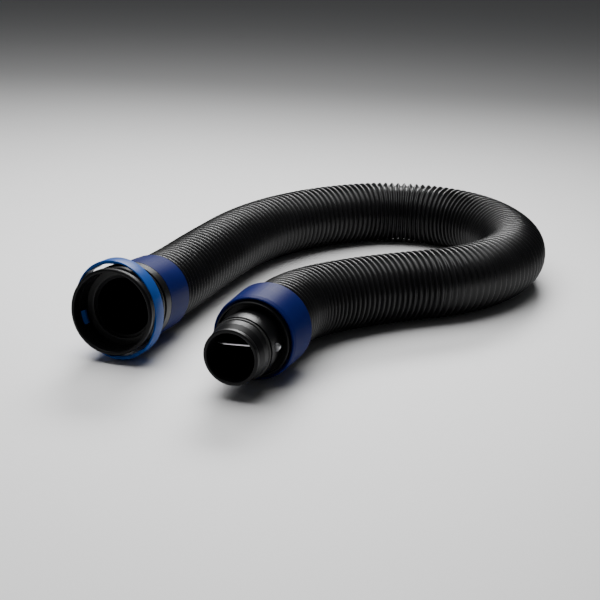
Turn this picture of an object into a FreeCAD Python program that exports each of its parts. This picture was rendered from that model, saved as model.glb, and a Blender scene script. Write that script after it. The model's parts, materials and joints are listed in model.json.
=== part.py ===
"""Breathing hose of a powered air respirator, with its two couplings.

The head coupling is a socket that turns on a swivel and holds an oval latch hoop. The blower
coupling is a stepped spigot with a sprung catch. Both mouths face about -Y and the hose loops
behind them on the floor. Millimetres, +Z up, floor at Z = 0.

A coupling's pieces are drawn about its own mouth: X across, Y into the mouth, Z up. They are
then set in place with the coupling's heading, pitch and roll.
"""
import FreeCAD, Part
import math
import os
import Sketcher

Vector = FreeCAD.Vector
Rotation = FreeCAD.Rotation
doc = FreeCAD.newDocument("BreathingHose")
sheet = doc.addObject("Spreadsheet::Sheet", "Dimensions")
parts = []


class Size:
    """A number together with the expression of sheet cells that gives it."""

    def __init__(self, value, text):
        self.value = value
        self.text = text

    def __add__(self, other):
        return Size(self.value + number(other), "(" + self.text + " + " + words(other) + ")")

    def __sub__(self, other):
        return Size(self.value - number(other), "(" + self.text + " - " + words(other) + ")")

    def __mul__(self, other):
        return Size(self.value * number(other), "(" + self.text + " * " + words(other) + ")")

    def __neg__(self):
        return Size(-self.value, "(0 - " + self.text + ")")


def number(size):
    return size.value if isinstance(size, Size) else size


def words(size):
    """The expression of a size, or of a plain number."""
    return size.text if isinstance(size, Size) else repr(size)


def cell(alias, value):
    """Put one driving dimension into the next row of the sheet."""
    row = str(len(sheet.getUsedCells()) // 2 + 1)
    sheet.set("A" + row, alias)
    sheet.set("B" + row, str(value))
    sheet.setAlias("B" + row, alias)
    return Size(value, "Dimensions." + alias)


# ---- driving dimensions -------------------------------------------------------------------
# Where the two couplings lie. A positive pitch lowers a coupling's rear.
head_x = cell("head_mouth_x", -37.81)
head_y = cell("head_mouth_y", -17.76)
head_z = cell("head_mouth_z", 27.86)
head_heading = cell("head_heading", 2.3)
head_pitch = cell("head_pitch", 6.4)
head_roll = cell("head_roll", 20.0)
blower_x = cell("blower_mouth_x", 38.80)
blower_y = cell("blower_mouth_y", -39.3)
blower_z = cell("blower_mouth_z", 22.9)

# The hose and what grips it
hose_radius = cell("hose_radius", 20.0)
hose_wall = cell("hose_wall", 2.1)
tail_radius = cell("tail_radius", 17.8)
tail_bore = cell("tail_bore", 15.4)
tail_taper = cell("tail_taper", 0.8)
tail_lead = cell("tail_lead", 2.0)
collar_bore = cell("collar_bore", 20.1)
flange_thick = cell("flange_thickness", 1.8)
edge_round = cell("edge_rounding", 0.6)

# Head socket, as distances behind its mouth and radii
entry_bore = cell("entry_bore", 20.9)
entry_depth = cell("entry_depth", 6.5)
socket_bore = cell("socket_bore", 20.6)
bezel_radius = cell("bezel_radius", 22.95)
bezel_length = cell("bezel_length", 3.2)
bezel_round = cell("bezel_rounding", 1.1)
mouth_round = cell("mouth_rounding", 0.7)
groove_width = cell("bezel_groove_width", 0.7)
groove_radius = cell("bezel_groove_radius", 22.3)
rim_radius = cell("rim_radius", 22.8)
channel_radius = cell("channel_radius", 21.6)
channel_front = cell("channel_front", 5.2)
channel_rear = cell("channel_rear", 16.2)
rim_rear = cell("rim_rear", 17.6)
shoulder_depth = cell("shoulder_depth", 16.5)
clip_room_radius = cell("clip_room_radius", 19.3)
clip_room_rear = cell("clip_room_rear", 18.6)
socket_rear = cell("socket_rear", 22.2)
socket_rear_radius = cell("socket_rear_radius", 21.0)
seal_thick = cell("seal_thickness", 1.7)
seal_bore = cell("seal_bore", 16.9)

# Swivel between the socket and the hose's tailpiece
journal_radius = cell("journal_radius", 18.04)
swivel_clearance = cell("swivel_clearance", 0.06)
journal_front = cell("journal_front", 16.7)
clip_front = cell("clip_front", 17.3)
clip_rear = cell("clip_rear", 18.3)
clip_floor = cell("clip_floor", 17.2)
clip_play = cell("clip_play", 0.05)
clip_gap = cell("clip_gap", 3.0)
ring_front = cell("oring_groove_front", 19.4)
ring_rear = cell("oring_groove_rear", 21.2)
ring_wire = cell("oring_wire_radius", 0.75)
ring_floor = cell("oring_groove_radius", 16.5)
flange_front = cell("head_flange_front", 22.5)
tail_rear = cell("head_tail_rear", 54.5)

# Collar of the head coupling
collar_ring_rear = cell("collar_ring_rear", 29.2)
head_collar_front = cell("head_collar_front", 29.7)
head_collar_rear = cell("head_collar_rear", 55.0)
head_collar_radius = cell("head_collar_radius", 21.7)
head_collar_rear_radius = cell("head_collar_rear_radius", 21.3)

# Latch hoop: an oval band round the socket, in its channel
hoop_tall = cell("hoop_half_height", 26.6)
hoop_wide = cell("hoop_half_width", 22.8)
hoop_thick = cell("hoop_thickness", 0.9)
pad_thick = cell("pad_thickness", 1.8)
hoop_front = cell("hoop_front", 5.5)
hoop_rear = cell("hoop_rear", 15.9)
pad_half = cell("pad_half_width", 9.0)
catch_half = cell("catch_half_height", 6.5)
hook_radius = cell("hook_radius", 19.4)
hook_half = cell("hook_half_height", 3.6)
hook_front = cell("hook_front", 7.6)
hook_ramp = cell("hook_ramp", 1.6)
hook_rear = cell("hook_rear", 11.4)
hook_room = cell("hook_room", 0.6)
joint_gap = cell("joint_gap", 0.1)

# Blower spigot, as distances behind its mouth and radii
spigot_bore = cell("spigot_bore", 12.6)
spigot_lip = cell("spigot_lip_radius", 14.5)
lip_length = cell("spigot_lip_length", 2.2)
waist_radius = cell("waist_radius", 14.1)
waist_along = cell("waist_position", 3.2)
swell_radius = cell("swell_radius", 15.3)
swell_along = cell("swell_position", 7.4)
band_radius = cell("band_radius", 15.75)
band_rear = cell("band_rear", 11.8)
spigot_ring_radius = cell("spigot_oring_radius", 15.33)
spigot_ring_wire = cell("spigot_oring_wire", 0.85)
spigot_ring_along = cell("spigot_oring_position", 12.9)
spigot_groove = cell("spigot_groove_radius", 14.45)
seat_radius = cell("seat_radius", 16.6)
seat_front = cell("seat_front", 14.1)
seat_rear = cell("seat_rear", 18.2)
land_radius = cell("land_radius", 16.4)
land_rear = cell("land_rear", 21.6)
neck_radius = cell("neck_radius", 15.9)
neck_bore = cell("neck_bore", 14.4)
neck_bore_front = cell("neck_bore_front", 18.0)
neck_bore_rear = cell("neck_bore_rear", 31.0)
bore_step = cell("spigot_bore_rear", 15.0)
shroud_radius = cell("shroud_radius", 20.05)
shroud_wall = cell("shroud_wall", 1.15)
shroud_front = cell("shroud_front", 27.1)
shroud_rear = cell("shroud_rear", 33.0)
blower_collar_front = cell("blower_collar_front", 29.2)
blower_collar_rear = cell("blower_collar_rear", 53.4)
blower_collar_radius = cell("blower_collar_radius", 22.9)
collar_face_radius = cell("collar_face_radius", 21.9)
collar_bevel = cell("collar_bevel", 2.8)

# Sprung catch of the spigot
catch_height = cell("catch_height", 1.4)
catch_middle = cell("catch_middle", 19.9)
catch_tip = cell("catch_tip", 18.3)
catch_thick = cell("catch_half_thickness", 1.1)
catch_tall = cell("catch_half_tall", 1.9)
catch_room = cell("catch_room", 0.2)
foot_inner = cell("foot_inner", 12.6)
foot_outer = cell("foot_outer", 13.4)
foot_spread = cell("foot_spread", 0.8)
wire_radius = cell("wire_radius", 0.55)
doc.recompute()

past = 2.0      # how far a cutting block runs past what it cuts


# ---- where the couplings stand -----------------------------------------------------------------
class Place:
    """A coupling's mouth and the way the coupling is turned."""

    def __init__(self, corner, heading=0.0, pitch=0.0, roll=0.0):
        self.corner = corner
        across = Rotation(Vector(1, 0, 0), -pitch)
        about_axis = Rotation(Vector(0, 1, 0), -roll)
        self.turn = Rotation(Vector(0, 0, 1), heading) * across * about_axis

    def point(self, x, y, z):
        """A point drawn about the mouth, where it lies in the assembly."""
        mouth = Vector(*[number(size) for size in self.corner])
        return mouth + self.turn.multVec(Vector(x, y, z))


HEAD = Place((head_x, head_y, head_z), number(head_heading), number(head_pitch), number(head_roll))
BLOWER = Place((blower_x, blower_y, blower_z))


# ---- ways of making a piece ------------------------------------------------------------------
def bind(thing, **sizes):
    """Bind properties of an object to expressions of sizes."""
    for name, size in sizes.items():
        thing.setExpression(name, words(size))


def put(thing, corner):
    """Bind the position of an object, and leave its rotation."""
    for axis, size in zip("xyz", corner):
        thing.setExpression(".Placement.Base." + axis, words(size))


def sub_part(thing, label, place):
    """Name an object as one of the assembly's pieces and set it in its coupling's place."""
    thing.Placement = FreeCAD.Placement(Vector(), place.turn)
    put(thing, place.corner)
    thing.Label = label
    parts.append(thing)


def revolved(name, outline):
    """Turn a closed outline of (distance behind the mouth, radius) about the coupling's axis."""
    body = doc.addObject("PartDesign::Body", name)
    plane = [feature for feature in body.Origin.OriginFeatures if feature.Role == "YZ_Plane"][0]
    sketch = body.newObject("Sketcher::SketchObject", name + "_outline")
    sketch.AttachmentSupport = (plane, [""])
    sketch.MapMode = "FlatFace"
    corners = [Vector(number(along), number(radius), 0) for along, radius in outline]
    count = len(corners)
    for i in range(count):
        sketch.addGeometry(Part.LineSegment(corners[i], corners[(i + 1) % count]), False)
    for i in range(count):
        sketch.addConstraint(Sketcher.Constraint("Coincident", i, 2, (i + 1) % count, 1))
    for i, (along, radius) in enumerate(outline):
        if number(along) == 0:
            sketch.addConstraint(Sketcher.Constraint("PointOnObject", i, 1, -2))
        else:
            fix_corner(sketch, i, "DistanceX", along)
        fix_corner(sketch, i, "DistanceY", radius)
    turn = body.newObject("PartDesign::Revolution", name + "_turn")
    turn.Profile = sketch
    turn.ReferenceAxis = (sketch, ["H_Axis"])
    turn.Angle = 360
    doc.recompute()
    return body


def fix_corner(sketch, corner, kind, size):
    """Hold one coordinate of a sketch corner at a size."""
    index = sketch.addConstraint(Sketcher.Constraint(kind, -1, 1, corner, 1, number(size)))
    sketch.setExpression("Constraints[%d]" % index, words(size))


def rounded(body, along, edge_radius, rounding):
    """Round the circular edge that a turned body has at this distance and radius."""
    names = []
    for i, edge in enumerate(body.Tip.Shape.Edges):
        if not isinstance(edge.Curve, Part.Circle):
            continue
        same_place = abs(edge.Curve.Center.y - number(along)) < 0.01
        if same_place and abs(edge.Curve.Radius - number(edge_radius)) < 0.01:
            names.append("Edge%d" % (i + 1))
    tip = body.Tip
    fillet = body.newObject("PartDesign::Fillet", body.Name + "_round")
    fillet.Base = (tip, names)
    bind(fillet, Radius=rounding)
    doc.recompute()


def block(name, low, high):
    """A box between two corners, drawn about a coupling's mouth."""
    box = doc.addObject("Part::Box", name)
    spans = [words(b) + " - " + words(a) for a, b in zip(low, high)]
    for side, span in zip(("Length", "Width", "Height"), spans):
        box.setExpression(side, span)
    put(box, low)
    return box


def boolean(kind, name, base, tool):
    result = doc.addObject("Part::" + kind, name)
    result.Base = base
    result.Tool = tool
    return result


def joined(name, shapes):
    result = doc.addObject("Part::MultiFuse", name)
    result.Shapes = shapes
    return result


def oval(name, half_height, half_width, front, rear):
    """An upright oval prism round a coupling's axis."""
    ellipse = doc.addObject("Part::Ellipse", name + "_outline")
    bind(ellipse, MajorRadius=half_height, MinorRadius=half_width)
    prism = doc.addObject("Part::Extrusion", name)
    prism.Base = ellipse
    prism.DirMode = "Custom"
    prism.Dir = Vector(0, 1, 0)
    prism.Solid = True
    bind(prism, LengthFwd=rear - front)
    # the outline's long axis is turned upright, and its plane to face the mouth
    ellipse.Placement.Rotation = Rotation(Vector(0, 0, 1), Vector(1, 0, 0), Vector(0, 1, 0))
    put(ellipse, (0, front, 0))
    return prism


def o_ring(name, along, radius, wire):
    """A ring round the coupling's axis, at this distance behind the mouth."""
    body = doc.addObject("PartDesign::Body", name)
    ring = body.newObject("PartDesign::AdditiveTorus", name + "_ring")
    bind(ring, Radius1=radius, Radius2=wire)
    ring.Placement.Rotation = Rotation(Vector(1, 0, 0), 90)
    put(ring, (0, along, 0))
    return body


def rounded_path(points, share=0.45):
    """Straight runs joined by tangent arcs, each as large as its shorter run allows."""
    edges = []
    radii = []
    start = points[0]
    for before, corner, after in zip(points, points[1:], points[2:]):
        back = (before - corner).normalize()
        ahead = (after - corner).normalize()
        trim = share * min((before - corner).Length, (after - corner).Length)
        half_turn = (math.pi - back.getAngle(ahead)) / 2
        radius = trim / math.tan(half_turn)
        entry = corner + back * trim
        leave = corner + ahead * trim
        inward = (back + ahead).normalize()
        middle = corner + inward * (radius / math.cos(half_turn) - radius)
        edges.append(Part.LineSegment(start, entry).toShape())
        edges.append(Part.Arc(entry, middle, leave).toShape())
        radii.append(radius)
        start = leave
    edges.append(Part.LineSegment(start, points[-1]).toShape())
    return Part.Wire(edges), radii


def swept(path, radius):
    """A round bar along a path."""
    first = path.Edges[0]
    heading = first.tangentAt(first.FirstParameter)
    circle = Part.Wire(Part.makeCircle(radius, first.Vertexes[0].Point, heading))
    return path.makePipeShell([circle], True, True)


# ---- head coupling ---------------------------------------------------------------------------
def make_socket_bezel():
    bezel = revolved("SocketBezel", [(0, entry_bore), (0, bezel_radius),
                                     (bezel_length, bezel_radius), (bezel_length, entry_bore)])
    rounded(bezel, 0, bezel_radius, bezel_round)
    rounded(bezel, 0, entry_bore, mouth_round)
    sub_part(bezel, "socket_bezel", HEAD)


def make_head_socket():
    groove_rear = bezel_length + groove_width
    journal_bore = journal_radius + swivel_clearance
    shell = revolved("SocketShell", [
        (bezel_length, entry_bore), (bezel_length, groove_radius),
        (groove_rear, groove_radius), (groove_rear, rim_radius),
        (channel_front, rim_radius), (channel_front, channel_radius),
        (channel_rear, channel_radius), (channel_rear, rim_radius),
        (rim_rear, rim_radius), (socket_rear, socket_rear_radius),
        (socket_rear, journal_bore), (clip_room_rear, journal_bore),
        (clip_room_rear, clip_room_radius), (shoulder_depth, clip_room_radius),
        (shoulder_depth, socket_bore), (entry_depth, socket_bore),
        (entry_depth, entry_bore),
    ])
    reach = rim_radius + past
    half = hook_half + hook_room
    slots = block("SocketSlots", (-reach, hook_front - hook_room, -half),
                  (reach, hook_rear + hook_room, half))
    sub_part(boolean("Cut", "HeadSocket", shell, slots), "head_socket", HEAD)


def make_head_seal():
    front = shoulder_depth - seal_thick
    outer = socket_bore - swivel_clearance
    seal = revolved("HeadSeal", [(front, seal_bore), (front, outer), (shoulder_depth, outer),
                                 (shoulder_depth, seal_bore)])
    rounded(seal, front, seal_bore, edge_round)
    sub_part(seal, "head_seal", HEAD)


def make_latch_hoop():
    """The hoop as the pieces that move apart: two pads, two catches and the strands between."""
    thin = boolean("Cut", "HoopThin", oval("HoopOuter", hoop_tall, hoop_wide, hoop_front, hoop_rear),
                   oval("HoopInner", hoop_tall - hoop_thick, hoop_wide - hoop_thick,
                        hoop_front, hoop_rear))
    thick = boolean("Cut", "HoopThick",
                    oval("HoopOuterThick", hoop_tall, hoop_wide, hoop_front, hoop_rear),
                    oval("HoopInnerThick", hoop_tall - pad_thick, hoop_wide - pad_thick,
                         hoop_front, hoop_rear))
    front = hoop_front - past
    rear = hoop_rear + past
    top = hoop_tall + past
    side = hoop_wide + past

    upper = block("PadUpperSpan", (-pad_half, front, catch_half), (pad_half, rear, top))
    lower = block("PadLowerSpan", (-pad_half, front, -top), (pad_half, rear, -catch_half))
    sub_part(boolean("Common", "LatchPadUpper", thick, upper), "latch_pad_upper", HEAD)
    sub_part(boolean("Common", "LatchPadLower", thick, lower), "latch_pad_lower", HEAD)

    hook_root = hoop_wide - hoop_thick * 0.5
    hook_outline = [(hook_front, hook_radius + hook_ramp), (hook_front + hook_ramp, hook_radius),
                    (hook_rear, hook_radius), (hook_rear, hook_root), (hook_front, hook_root)]
    for hand, low, high in (("Left", -side, -pad_half), ("Right", pad_half, side)):
        span = block("Catch" + hand + "Span", (low, front, -catch_half), (high, rear, catch_half))
        band = boolean("Common", "Catch" + hand + "Band", thin, span)
        hook_ring = revolved("Hook" + hand + "Ring", hook_outline)
        hook_span = block("Hook" + hand + "Span", (low, front, -hook_half), (high, rear, hook_half))
        hook = boolean("Common", "Hook" + hand, hook_ring, hook_span)
        sub_part(joined("LatchCatch" + hand, [band, hook]), "latch_catch_" + hand.lower(), HEAD)

    pad_room = pad_half + joint_gap
    catch_rise = catch_half + joint_gap
    pad_slot = block("PadRoom", (-pad_room, front, -top), (pad_room, rear, top))
    catch_slot = block("CatchRoom", (-side, front, -catch_rise), (side, rear, catch_rise))
    without_pads = boolean("Cut", "HoopWithoutPads", thin, pad_slot)
    sub_part(boolean("Cut", "LatchStrands", without_pads, catch_slot), "latch_strands", HEAD)


def make_swivel():
    flange_rear = flange_front + flange_thick
    sub_part(revolved("HeadTailpiece", [
        (journal_front, tail_bore), (journal_front, journal_radius),
        (clip_front, journal_radius), (clip_front, clip_floor), (clip_rear, clip_floor),
        (clip_rear, journal_radius), (ring_front, journal_radius), (ring_front, ring_floor),
        (ring_rear, ring_floor), (ring_rear, journal_radius), (flange_front, journal_radius),
        (flange_front, hose_radius), (flange_rear, hose_radius), (flange_rear, tail_radius),
        (tail_rear - tail_lead, tail_radius), (tail_rear, tail_radius - tail_taper),
        (tail_rear, tail_bore),
    ]), "head_tailpiece", HEAD)

    clip_outer = clip_room_radius - clip_play * 5
    clip_ring = revolved("ClipRing", [
        (clip_front + clip_play, clip_floor + clip_play), (clip_front + clip_play, clip_outer),
        (clip_rear - clip_play, clip_outer), (clip_rear - clip_play, clip_floor + clip_play)])
    half_gap = clip_gap * 0.5
    split = block("ClipSplit", (-half_gap, clip_front - past, tail_bore),
                  (half_gap, clip_rear + past, clip_room_radius + past))
    sub_part(boolean("Cut", "SwivelClip", clip_ring, split), "swivel_clip", HEAD)

    ring_middle = (ring_front + ring_rear) * 0.5
    sub_part(o_ring("SwivelOring", ring_middle, journal_radius - ring_wire, ring_wire),
             "swivel_oring", HEAD)


def make_head_collar():
    ring = revolved("HeadCollarRing", [
        (flange_front, collar_bore), (flange_front, head_collar_radius),
        (collar_ring_rear, head_collar_radius), (collar_ring_rear, collar_bore)])
    rounded(ring, flange_front, head_collar_radius, edge_round)
    sub_part(ring, "head_collar_ring", HEAD)

    collar = revolved("HeadCollar", [
        (head_collar_front, collar_bore), (head_collar_front, head_collar_radius),
        (head_collar_rear, head_collar_rear_radius), (head_collar_rear, collar_bore)])
    rounded(collar, head_collar_rear, head_collar_rear_radius, edge_round)
    sub_part(collar, "head_collar", HEAD)


# ---- blower coupling ---------------------------------------------------------------------------
def make_blower_spigot():
    flange_rear = shroud_rear + flange_thick
    tail_end = blower_collar_rear - tail_taper
    turned = revolved("SpigotTurned", [
        (0, spigot_bore), (0, spigot_lip), (lip_length, spigot_lip), (waist_along, waist_radius),
        (swell_along, swell_radius), (band_rear, band_radius),
        (band_rear, spigot_groove), (seat_front, spigot_groove), (seat_front, seat_radius),
        (seat_rear, seat_radius), (seat_rear, land_radius), (land_rear, land_radius),
        (land_rear + edge_round, neck_radius), (shroud_rear, neck_radius),
        (shroud_rear, hose_radius), (flange_rear, hose_radius), (flange_rear, tail_radius),
        (tail_end - tail_lead, tail_radius), (tail_end, tail_radius - tail_taper),
        (tail_end, tail_bore), (shroud_rear, tail_bore), (neck_bore_rear, neck_bore),
        (neck_bore_front, neck_bore), (bore_step, spigot_bore),
    ])
    rounded(turned, 0, spigot_lip, edge_round)
    rounded(turned, 0, spigot_bore, edge_round)
    rounded(turned, lip_length, spigot_lip, edge_round)
    rounded(turned, band_rear, band_radius, edge_round)
    thick = catch_thick + catch_room
    tall = catch_tall + catch_room
    slot = block("SpigotSlot", (spigot_bore, catch_middle - thick, catch_height - tall),
                 (seat_radius + past, catch_middle + thick, catch_height + tall))
    sub_part(boolean("Cut", "BlowerSpigot", turned, slot), "blower_spigot", BLOWER)
    sub_part(o_ring("SpigotOring", spigot_ring_along, spigot_ring_radius, spigot_ring_wire),
             "spigot_oring", BLOWER)


def make_lock():
    """The sprung catch: a foot inside the bore, a stem through the wall and a rounded nose."""
    foot_thick = catch_thick + foot_spread
    foot_tall = catch_tall + foot_spread
    nose_middle = catch_tip - catch_tall
    foot = block("CatchFoot", (foot_inner, catch_middle - foot_thick, catch_height - foot_tall),
                 (foot_outer, catch_middle + foot_thick, catch_height + foot_tall))
    stem = block("CatchStem", (foot_inner, catch_middle - catch_thick, catch_height - catch_tall),
                 (nose_middle, catch_middle + catch_thick, catch_height + catch_tall))
    nose = doc.addObject("Part::Cylinder", "CatchNose")
    bind(nose, Radius=catch_tall, Height=catch_thick * 2)
    nose.Placement.Rotation = Rotation(Vector(1, 0, 0), -90)
    put(nose, (nose_middle, catch_middle - catch_thick, catch_height))
    sub_part(joined("LockCatch", [foot, stem, nose]), "lock_catch", BLOWER)

    # the wire runs forward from the catch's foot, then back across the bore to the far wall
    route = [Vector(11.9, 17.6, 1.8), Vector(11.0, 10.0, 3.8), Vector(9.4, 2.6, 7.2),
             Vector(-7.0, 6.0, 4.6), Vector(-11.6, 12.0, 3.0)]
    wire = doc.addObject("Part::Feature", "LockWire")
    wire.Shape = swept(rounded_path(route, 0.2)[0], number(wire_radius))
    sub_part(wire, "lock_wire", BLOWER)


def make_blower_shroud():
    inner = shroud_radius - shroud_wall
    floor = shroud_rear - past
    seat = neck_radius + swivel_clearance
    shroud = revolved("BlowerShroud", [
        (shroud_front, inner), (shroud_front, shroud_radius), (shroud_rear, shroud_radius),
        (shroud_rear, seat), (floor, seat), (floor, inner)])
    rounded(shroud, shroud_front, shroud_radius, 0.4)
    rounded(shroud, shroud_front, inner, 0.4)
    sub_part(shroud, "blower_shroud", BLOWER)


def make_blower_collar():
    bevel = edge_round * 0.7
    collar = revolved("BlowerCollar", [
        (blower_collar_front + collar_bevel * 0.5, collar_bore),
        (blower_collar_front, collar_face_radius - bevel),
        (blower_collar_front + bevel, collar_face_radius),
        (blower_collar_front + collar_bevel, collar_face_radius + bevel),
        (blower_collar_rear, blower_collar_radius), (blower_collar_rear, collar_bore)])
    rounded(collar, blower_collar_rear, blower_collar_radius, edge_round)
    sub_part(collar, "blower_collar", BLOWER)


# ---- hose ----------------------------------------------------------------------------------
def make_hose():
    """A hollow tube from the head flange round the loop to the blower flange."""
    lying = number(hose_radius)
    head_end = HEAD.point(0, number(flange_front + flange_thick), 0)
    blower_end = BLOWER.point(0, number(shroud_rear + flange_thick), 0)
    route = [
        head_end,
        HEAD.point(0, 70, 0),
        Vector(-42, 104.5, lying),
        Vector(-40, 176, lying),
        Vector(-15, 234, lying),
        Vector(29, 274.5, lying),
        Vector(90.5, 269.5, lying),
        Vector(132, 211, lying),
        Vector(118, 144, lying),
        Vector(67.5, 101, lying),
        Vector(38.5, 55.5, 21.1),
        Vector(blower_end.x, 16.5, blower_end.z),
        blower_end,
    ]
    path, radii = rounded_path(route)
    print("hose arc radii:", " ".join("%.0f" % radius for radius in radii))
    for point in route[:2]:
        print("hose route from the head: %.2f %.2f %.2f" % (point.x, point.y, point.z))
    inner_radius = lying - number(hose_wall)
    tube = swept(path, lying).cut(swept(path, inner_radius))
    expected = math.pi * (lying ** 2 - inner_radius ** 2) * path.Length
    print("hose length %.1f, volume / (section x length) %.4f" % (path.Length, tube.Volume / expected))
    hose = doc.addObject("Part::Feature", "Hose")
    hose.Shape = tube
    hose.Label = "hose"
    parts.append(hose)


make_socket_bezel()
make_head_socket()
make_head_seal()
make_latch_hoop()
make_swivel()
make_head_collar()
make_blower_spigot()
make_lock()
make_blower_shroud()
make_blower_collar()
make_hose()
doc.recompute()

# ---- check and write -----------------------------------------------------------------------
for thing in doc.Objects:
    if "Invalid" in thing.State or "Error" in thing.State:
        raise RuntimeError(thing.Name + " failed: " + str(thing.State))
for part in parts:
    if part.Shape.isNull() or not part.Shape.isValid():
        raise RuntimeError(part.Label + " has no valid shape")

os.makedirs("parts", exist_ok=True)
for part in parts:
    part.Shape.exportStep("parts/" + part.Label + ".step")
    box = part.Shape.optimalBoundingBox(True, False)
    print("%-18s solids %d volume %8.1f  x %7.2f %7.2f  y %7.2f %7.2f  z %6.2f %6.2f" % (
        part.Label, len(part.Shape.Solids), part.Shape.Volume, box.XMin, box.XMax,
        box.YMin, box.YMax, box.ZMin, box.ZMax))
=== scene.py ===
"""Looks of the breathing hose: ribbed hose, latch hoop, materials, floor, lights and camera."""
import json
import math

import bpy
import numpy as np
from mathutils import Matrix, Vector


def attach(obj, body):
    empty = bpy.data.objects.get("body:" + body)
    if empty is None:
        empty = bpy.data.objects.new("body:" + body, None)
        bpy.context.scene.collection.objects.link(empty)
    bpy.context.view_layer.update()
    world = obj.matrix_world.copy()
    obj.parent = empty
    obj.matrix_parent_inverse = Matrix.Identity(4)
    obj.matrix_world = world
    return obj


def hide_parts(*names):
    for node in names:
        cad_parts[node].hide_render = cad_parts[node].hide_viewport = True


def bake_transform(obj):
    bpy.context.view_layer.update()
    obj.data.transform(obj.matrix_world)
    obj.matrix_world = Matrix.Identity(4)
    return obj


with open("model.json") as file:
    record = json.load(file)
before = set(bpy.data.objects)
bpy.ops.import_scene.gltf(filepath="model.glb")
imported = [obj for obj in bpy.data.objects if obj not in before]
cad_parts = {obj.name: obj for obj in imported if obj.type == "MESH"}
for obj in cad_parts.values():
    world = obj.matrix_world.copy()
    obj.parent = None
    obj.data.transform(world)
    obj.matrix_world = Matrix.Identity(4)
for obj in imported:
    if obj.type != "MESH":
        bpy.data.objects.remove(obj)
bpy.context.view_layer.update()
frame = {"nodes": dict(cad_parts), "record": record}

NODES = frame["nodes"]
ROOT = "hose_assembly"

# the head coupling's mouth and its own directions: across, into the mouth, and up
HEAD_MOUTH = Vector((-0.03781, -0.01776, 0.02786))
HEAD_HEADING, HEAD_PITCH, HEAD_ROLL = (math.radians(angle) for angle in (2.3, -6.4, -20.0))
HEAD_TURN = (Matrix.Rotation(HEAD_HEADING, 3, "Z") @ Matrix.Rotation(HEAD_PITCH, 3, "X")
             @ Matrix.Rotation(HEAD_ROLL, 3, "Y"))


def head_point(x, y, z):
    """A point drawn about the head coupling's mouth, in the row frame."""
    return HEAD_MOUTH + HEAD_TURN @ Vector((x, y, z))


# ---- camera ------------------------------------------------------------------------------
CAMERA_EYE = Vector((0.27833, -0.6014, 0.2634))
CAMERA_HEADING = Vector((-0.34168, 0.93982, 0))
CAMERA_PITCH = 18.955       # degrees that it looks down
CAMERA_ROLL = 1.77          # degrees
CAMERA_LENS = 81            # millimetres, on a sensor 36 wide


def add_camera():
    """A viewpoint above the floor in front, a little to the right."""
    heading = CAMERA_HEADING.normalized()
    pitch = math.radians(CAMERA_PITCH)
    roll = math.radians(CAMERA_ROLL)
    ahead = heading * math.cos(pitch) - Vector((0, 0, 1)) * math.sin(pitch)
    right = heading.cross(Vector((0, 0, 1))).normalized()
    up = right.cross(ahead)
    tilted_right = right * math.cos(roll) + up * math.sin(roll)
    tilted_up = up * math.cos(roll) - right * math.sin(roll)
    turn = Matrix((tilted_right, tilted_up, -ahead)).transposed().to_4x4()
    data = bpy.data.cameras.new("camera")
    data.sensor_width = 36
    data.lens = CAMERA_LENS
    camera = bpy.data.objects.new("camera", data)
    camera.matrix_world = Matrix.Translation(CAMERA_EYE) @ turn
    bpy.context.scene.collection.objects.link(camera)
    bpy.context.scene.camera = camera


add_camera()


# ---- shared geometry -----------------------------------------------------------------------
def new_mesh(name, vertices, faces, smooth=True):
    """An object from corners and faces, put into the scene."""
    mesh = bpy.data.meshes.new(name)
    mesh.from_pydata([tuple(v) for v in vertices], [], faces)
    mesh.update()
    if smooth:
        mesh.shade_smooth()
    piece = bpy.data.objects.new(name, mesh)
    bpy.context.scene.collection.objects.link(piece)
    return piece


def along(line, distances):
    """Points at given distances along a polyline."""
    steps = np.linalg.norm(np.diff(line, axis=0), axis=1)
    run = np.concatenate([[0], np.cumsum(steps)])
    return np.stack([np.interp(distances, run, line[:, k]) for k in range(3)], axis=1)


def length_of(line):
    """The length of a polyline."""
    return float(np.linalg.norm(np.diff(line, axis=0), axis=1).sum())


def carried_frames(points):
    """A sideways and an upward direction at each point, carried along without twist."""
    heading = np.gradient(points, axis=0)
    heading /= np.linalg.norm(heading, axis=1)[:, None]
    side = np.zeros_like(points)
    side[0] = np.cross(heading[0], (0, 0, 1))
    side[0] /= np.linalg.norm(side[0])
    for i in range(1, len(points)):
        s = side[i - 1] - heading[i] * np.dot(side[i - 1], heading[i])
        side[i] = s / np.linalg.norm(s)
    return side, np.cross(side, heading)


def centreline(points):
    """The points of a smooth NURBS spline through the route, as numpy rows."""
    data = bpy.data.curves.new("hose_route", "CURVE")
    data.dimensions = "3D"
    data.resolution_u = 48
    spline = data.splines.new("NURBS")
    spline.points.add(len(points) - 1)
    for point, place in zip(spline.points, points):
        point.co = (*place, 1)
    spline.order_u = 3
    spline.use_endpoint_u = True
    curve = bpy.data.objects.new("hose_route", data)
    bpy.context.scene.collection.objects.link(curve)
    bpy.context.view_layer.update()
    mesh = bpy.data.meshes.new_from_object(curve)
    line = np.array([v.co for v in mesh.vertices])
    bpy.data.objects.remove(curve)
    bpy.data.meshes.remove(mesh)
    return line


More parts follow.
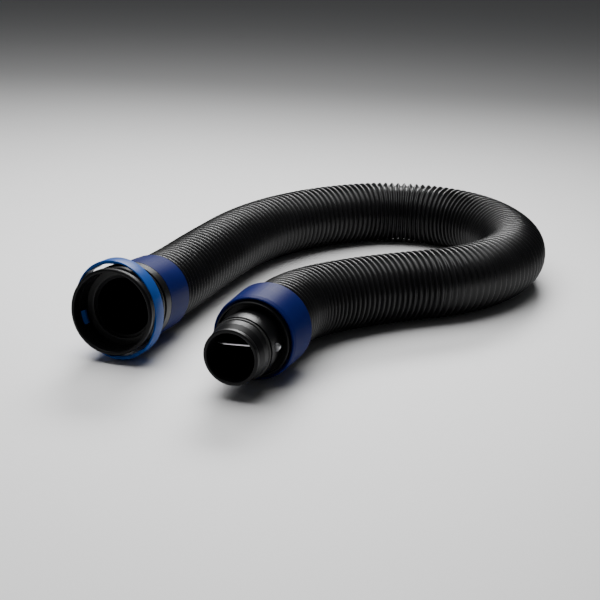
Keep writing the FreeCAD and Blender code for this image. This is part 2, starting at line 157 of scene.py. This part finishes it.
# ---- hose --------------------------------------------------------------------------------------
HOSE_RADIUS = 0.020
HOSE_WALL = 0.0016
ROUTE = [
    (-0.03878, 0.00637, 0.02515),
    (-0.04060, 0.05175, 0.02006),
    (-0.042, 0.1045, HOSE_RADIUS),
    (-0.040, 0.176, HOSE_RADIUS),
    (-0.015, 0.234, HOSE_RADIUS),
    (0.029, 0.2745, HOSE_RADIUS),
    (0.0905, 0.2695, HOSE_RADIUS),
    (0.132, 0.211, HOSE_RADIUS),
    (0.118, 0.144, HOSE_RADIUS),
    (0.0675, 0.101, HOSE_RADIUS),
    (0.0385, 0.0555, 0.0211),
    (0.0388, 0.0165, 0.0229),
    (0.0388, -0.0045, 0.0229),
]
RIB_PLACES = (0, 0.24, 0.28, 0.32, 0.36, 0.44, 0.50, 0.66)      # distances along the hose
RIB_PITCHES = (0.0042, 0.0042, 0.00395, 0.0040, 0.00425, 0.0043, 0.00375, 0.0037)
RIB_DEPTH = 0.0021
RIB_STEPS = 12
SIDES = 80
MEASURING_STEPS = 4000  # stretches over which the ribs are counted out
COLLARED = 0.030        # length of hose end that a collar grips
GRIPPED = 0.0005        # how much smaller the gripped hose is


def rib_sink(phase):
    """How far the surface stands below the crest, 0 on the crest to 1 in the groove."""
    return 0.5 + 0.5 * math.cos(2 * math.pi * phase)


def count_out_ribs(length):
    """Phases of the rings, one per whole rib, and how far along the hose each ring lies."""
    fine = np.linspace(0, length, MEASURING_STEPS)
    pitches = np.interp(fine[1:], RIB_PLACES, RIB_PITCHES)
    turns = np.concatenate([[0], np.cumsum(np.diff(fine) / pitches)])
    ribs = round(float(turns[-1]))
    phases = np.arange(ribs * RIB_STEPS + 1) / RIB_STEPS
    return phases, np.interp(phases * turns[-1] / ribs, turns, fine)


def make_hose():
    """A closed tube with real ribs, from inside one collar to inside the other."""
    line = centreline(ROUTE)
    length = length_of(line)
    phases, distances = count_out_ribs(length)
    rings = len(phases)
    points = along(line, distances)
    side, up = carried_frames(points)
    angles = np.linspace(0, 2 * np.pi, SIDES, endpoint=False)
    outer = np.array([HOSE_RADIUS - RIB_DEPTH * rib_sink(phase % 1) for phase in phases])
    gripped = (distances < COLLARED) | (distances > length - COLLARED / 2)
    outer = np.where(gripped, outer - GRIPPED, outer)
    vertices = []
    for radii in (outer, outer - HOSE_WALL):
        ring = (np.cos(angles)[None, :, None] * side[:, None, :]
                + np.sin(angles)[None, :, None] * up[:, None, :])
        vertices.append((points[:, None, :] + radii[:, None, None] * ring).reshape(-1, 3))
    vertices = np.concatenate(vertices)
    shift = rings * SIDES
    last = (rings - 1) * SIDES
    faces = []
    for i in range(rings - 1):
        for j in range(SIDES):
            a = i * SIDES + j
            b = i * SIDES + (j + 1) % SIDES
            faces.append((a, a + SIDES, b + SIDES, b))
            faces.append((a + shift, b + shift, b + SIDES + shift, a + SIDES + shift))
    for j in range(SIDES):
        b = (j + 1) % SIDES
        faces.append((j, b, b + shift, j + shift))
        faces.append((last + j, last + j + shift, last + b + shift, last + b))
    hose = new_mesh("ribbed_hose", vertices, faces)
    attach(hose, ROOT)
    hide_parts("hose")
    return hose


# ---- latch hoop ----------------------------------------------------------------------------
HOOP_TALL = 0.0266
HOOP_WIDE = 0.0228
HOOP_MIDDLE = 0.0107
HOOP_HALF = 0.0052
STRAND_THICK = 0.0010
PAD_THICK = 0.0019
PAD_EDGE = 0.0090
STRAND_MIDDLE = 40      # degrees from a catch towards a pad
BAND_STEPS = 48
CORNER_STEPS = 4
BAND_CORNER = 0.00042
PAD_FADE = 0.004        # over which a pad thins out into a strand
SHARP_ANGLE = 60


def band_section(thick, corner):
    """A rounded rectangle of (inward, along) about the band's outer face."""
    section = []
    side = HOOP_HALF - corner
    centres = ((corner, side, 90), (thick - corner, side, 0),
               (thick - corner, -side, 270), (corner, -side, 180))
    for inward, ahead, first in centres:
        for k in range(CORNER_STEPS + 1):
            angle = math.radians(first + 90 - 90 * k / CORNER_STEPS)
            section.append((inward + corner * math.cos(angle), ahead + corner * math.sin(angle)))
    return section


def hoop_band(name, start, stop):
    """The hoop between two angles, counted from the right catch over the upper pad."""
    vertices = []
    for degrees in np.linspace(start, stop, BAND_STEPS + 1):
        angle = math.radians(degrees)
        across = HOOP_WIDE * math.cos(angle)
        height = HOOP_TALL * math.sin(angle)
        outward = Vector((math.cos(angle) / HOOP_WIDE, 0, math.sin(angle) / HOOP_TALL)).normalized()
        pad = min(1, max(0, (PAD_EDGE + PAD_FADE / 2 - abs(across)) / PAD_FADE))
        pad = pad * pad * (3 - 2 * pad)
        thick = STRAND_THICK + (PAD_THICK - STRAND_THICK) * pad
        for inward, ahead in band_section(thick, BAND_CORNER):
            place = Vector((across, HOOP_MIDDLE + ahead, height)) - outward * inward
            vertices.append(head_point(*place))
    ring = 4 * (CORNER_STEPS + 1)
    faces = []
    for i in range(BAND_STEPS):
        for j in range(ring):
            a = i * ring + j
            b = i * ring + (j + 1) % ring
            faces.append((a, b, b + ring, a + ring))
    faces.append(tuple(reversed(range(ring))))
    faces.append(tuple(range(BAND_STEPS * ring, (BAND_STEPS + 1) * ring)))
    band = new_mesh(name, vertices, faces)
    band.data.set_sharp_from_angle(angle=math.radians(SHARP_ANGLE))
    return band


def make_hoop():
    """Four bands round the socket, one for each pad and catch, meeting at the middle of the
    strands.
    """
    low, high = STRAND_MIDDLE, 180 - STRAND_MIDDLE
    bands = (
        ("hoop_upper", low, high, "upper_pad", ("latch_pad_upper", "latch_strands"), (0, 1)),
        ("hoop_left", high, 360 - high, "left_catch", ("latch_catch_left",), (-1, 0)),
        ("hoop_lower", 360 - high, 360 - low, "lower_pad", ("latch_pad_lower",), (0, -1)),
        ("hoop_right", -low, low, "right_catch", ("latch_catch_right",), (1, 0)),
    )
    pieces = []
    for name, start, stop, body, nodes, (x, z) in bands:
        band = hoop_band(name, start, stop)
        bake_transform(band)
        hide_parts(*nodes)
        pieces.append(band)
    return pieces


HOOK_HALF = 0.0036
HOOK_ROWS = 9
HOOK_ROOT = HOOP_WIDE - STRAND_THICK / 2
# distance behind the mouth and from the axis: a ramp in front, a rounded edge behind
HOOK_PROFILE = ((0.0076, HOOK_ROOT), (0.0076, 0.0210), (0.0082, 0.0203), (0.0092, 0.0194),
                (0.0108, 0.0194), (0.0112, 0.0196), (0.0114, 0.0200), (0.0114, HOOK_ROOT))


def make_hook(name, body, node, hand):
    """The hook inside one catch, which reaches through the socket's slot."""
    rows = np.linspace(-HOOK_HALF, HOOK_HALF, HOOK_ROWS)
    vertices = []
    for height in rows:
        for y, radius in HOOK_PROFILE:
            reach = math.sqrt(max(0.0, radius ** 2 - height ** 2))
            vertices.append(head_point(hand * reach, y, height))
    count = len(HOOK_PROFILE)
    faces = []
    for i in range(len(rows) - 1):
        for j in range(count):
            a = i * count + j
            b = i * count + (j + 1) % count
            faces.append((a, b, b + count, a + count))
    faces.append(tuple(reversed(range(count))))
    faces.append(tuple(range((len(rows) - 1) * count, len(rows) * count)))
    if hand < 0:
        faces = [tuple(reversed(face)) for face in faces]
    hook = new_mesh(name, vertices, faces, smooth=False)
    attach(hook, body)
    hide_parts(node)
    return hook


# ---- materials ------------------------------------------------------------------------------
SLOW_SCALE = 60.0
SLOW_DETAIL = 4.0
FINE_DETAIL = 3.0
TINT_FROM, TINT_TO = 0.3, 0.7   # stretch of the slow noise that shades the colour
SHINE_SPREAD = 0.05             # roughness varies by this much either way
RELIEF = 0.0002                 # depth of the grain


def material(name, colour, roughness, grain=900.0, bump=0.05, vary=0.15, metallic=0.0,
             specular=0.5):
    """A moulded surface: fine grain in the bump, slow variation in colour and roughness."""
    mat = bpy.data.materials.new(name)
    mat.use_nodes = True
    tree = mat.node_tree
    shader = tree.nodes["Principled BSDF"]
    shader.inputs["Metallic"].default_value = metallic
    shader.inputs["Specular IOR Level"].default_value = specular
    place = tree.nodes.new("ShaderNodeTexCoord")
    slow = tree.nodes.new("ShaderNodeTexNoise")
    slow.inputs["Scale"].default_value = SLOW_SCALE
    slow.inputs["Detail"].default_value = SLOW_DETAIL
    tree.links.new(place.outputs["Object"], slow.inputs["Vector"])
    tint = tree.nodes.new("ShaderNodeValToRGB")
    dark = [c * (1 - vary) for c in colour]
    light = [min(1.0, c * (1 + vary)) for c in colour]
    tint.color_ramp.elements[0].position = TINT_FROM
    tint.color_ramp.elements[0].color = (*dark, 1)
    tint.color_ramp.elements[1].position = TINT_TO
    tint.color_ramp.elements[1].color = (*light, 1)
    tree.links.new(slow.outputs["Fac"], tint.inputs["Fac"])
    tree.links.new(tint.outputs["Color"], shader.inputs["Base Color"])
    shine = tree.nodes.new("ShaderNodeMapRange")
    shine.inputs["To Min"].default_value = roughness - SHINE_SPREAD
    shine.inputs["To Max"].default_value = roughness + SHINE_SPREAD
    tree.links.new(slow.outputs["Fac"], shine.inputs["Value"])
    tree.links.new(shine.outputs["Result"], shader.inputs["Roughness"])
    fine = tree.nodes.new("ShaderNodeTexNoise")
    fine.inputs["Scale"].default_value = grain
    fine.inputs["Detail"].default_value = FINE_DETAIL
    tree.links.new(place.outputs["Object"], fine.inputs["Vector"])
    relief = tree.nodes.new("ShaderNodeBump")
    relief.inputs["Strength"].default_value = bump
    relief.inputs["Distance"].default_value = RELIEF
    tree.links.new(fine.outputs["Fac"], relief.inputs["Height"])
    tree.links.new(relief.outputs["Normal"], shader.inputs["Normal"])
    return mat


MATERIALS = {
    "black_plastic": material("black_plastic", (0.004, 0.004, 0.0045), 0.36, bump=0.08,
                              specular=0.14),
    "collar_plastic": material("collar_plastic", (0.003, 0.008, 0.085), 0.42, bump=0.06, vary=0.08,
                               specular=0.03),
    "latch_plastic": material("latch_plastic", (0.005, 0.060, 0.28), 0.38, bump=0.06, vary=0.08,
                              specular=0.1),
    "hose_rubber": material("hose_rubber", (0.004, 0.004, 0.0045), 0.34, grain=1500.0, bump=0.1,
                            specular=0.40),
    "seal_rubber": material("seal_rubber", (0.010, 0.010, 0.010), 0.55, bump=0.12),
    "spring_steel": material("spring_steel", (0.80, 0.80, 0.82), 0.30, bump=0.02, vary=0.05,
                             metallic=1.0),
}


def paint(piece, slot_name):
    """Give a piece the material of its slot."""
    piece.data.materials.clear()
    piece.data.materials.append(MATERIALS[slot_name])


for part in frame["record"]["subparts"]:
    paint(NODES[part["node"]], part["material_slot"])

paint(make_hose(), "hose_rubber")
for piece in make_hoop():
    paint(piece, "latch_plastic")
paint(make_hook("hook_left", "left_catch", "latch_catch_left", -1), "latch_plastic")
paint(make_hook("hook_right", "right_catch", "latch_catch_right", 1), "latch_plastic")


# ---- floor and lights ----------------------------------------------------------------
FLOOR_HALF = 6.0
FLOOR_GREY = 0.86
FLOOR_ROUGHNESS = 0.6
WORLD_COLOUR = (0.9, 0.92, 0.95, 1)
WORLD_STRENGTH = 0.05
# name, place, what it shines at, size in metres, power in watts and spread in degrees
LIGHTS = (
    ("overhead", (-0.12, 0.10, 0.62), (-0.05, 0.02, 0), (0.65, 0.6), 6.5, 180),
    ("back", (-0.28, 1.15, 0.74), (0.0, 0.03, 0), (0.8, 0.3), 1.9, 50),
    ("front", (-0.30, -0.70, 0.55), (0.0, 0.0, 0.02), (0.15, 0.15), 0.15, 180),
)


def add_floor():
    """A plain pale floor at height 0."""
    mat = bpy.data.materials.new("pale_floor")
    mat.use_nodes = True
    shader = mat.node_tree.nodes["Principled BSDF"]
    shader.inputs["Base Color"].default_value = (FLOOR_GREY, FLOOR_GREY, FLOOR_GREY, 1)
    shader.inputs["Roughness"].default_value = FLOOR_ROUGHNESS
    corners = [(x * FLOOR_HALF, y * FLOOR_HALF, 0) for x, y in ((-1, -1), (1, -1), (1, 1), (-1, 1))]
    floor = new_mesh("floor", corners, [(0, 1, 2, 3)], smooth=False)
    floor.data.materials.append(mat)


def add_area(name, place, target, size, power, spread):
    """A rectangular soft light."""
    data = bpy.data.lights.new(name, "AREA")
    data.spread = math.radians(spread)
    data.shape = "RECTANGLE"
    data.size = size[0]
    data.size_y = size[1]
    data.energy = power
    light = bpy.data.objects.new(name, data)
    light.location = place
    light.rotation_euler = (Vector(target) - Vector(place)).to_track_quat("-Z", "Y").to_euler()
    bpy.context.scene.collection.objects.link(light)


def add_world():
    """A faint even glow from all round."""
    world = bpy.data.worlds.new("studio")
    world.use_nodes = True
    glow = world.node_tree.nodes["Background"]
    glow.inputs["Color"].default_value = WORLD_COLOUR
    glow.inputs["Strength"].default_value = WORLD_STRENGTH
    bpy.context.scene.world = world


add_floor()
add_world()
for light in LIGHTS:
    add_area(*light)
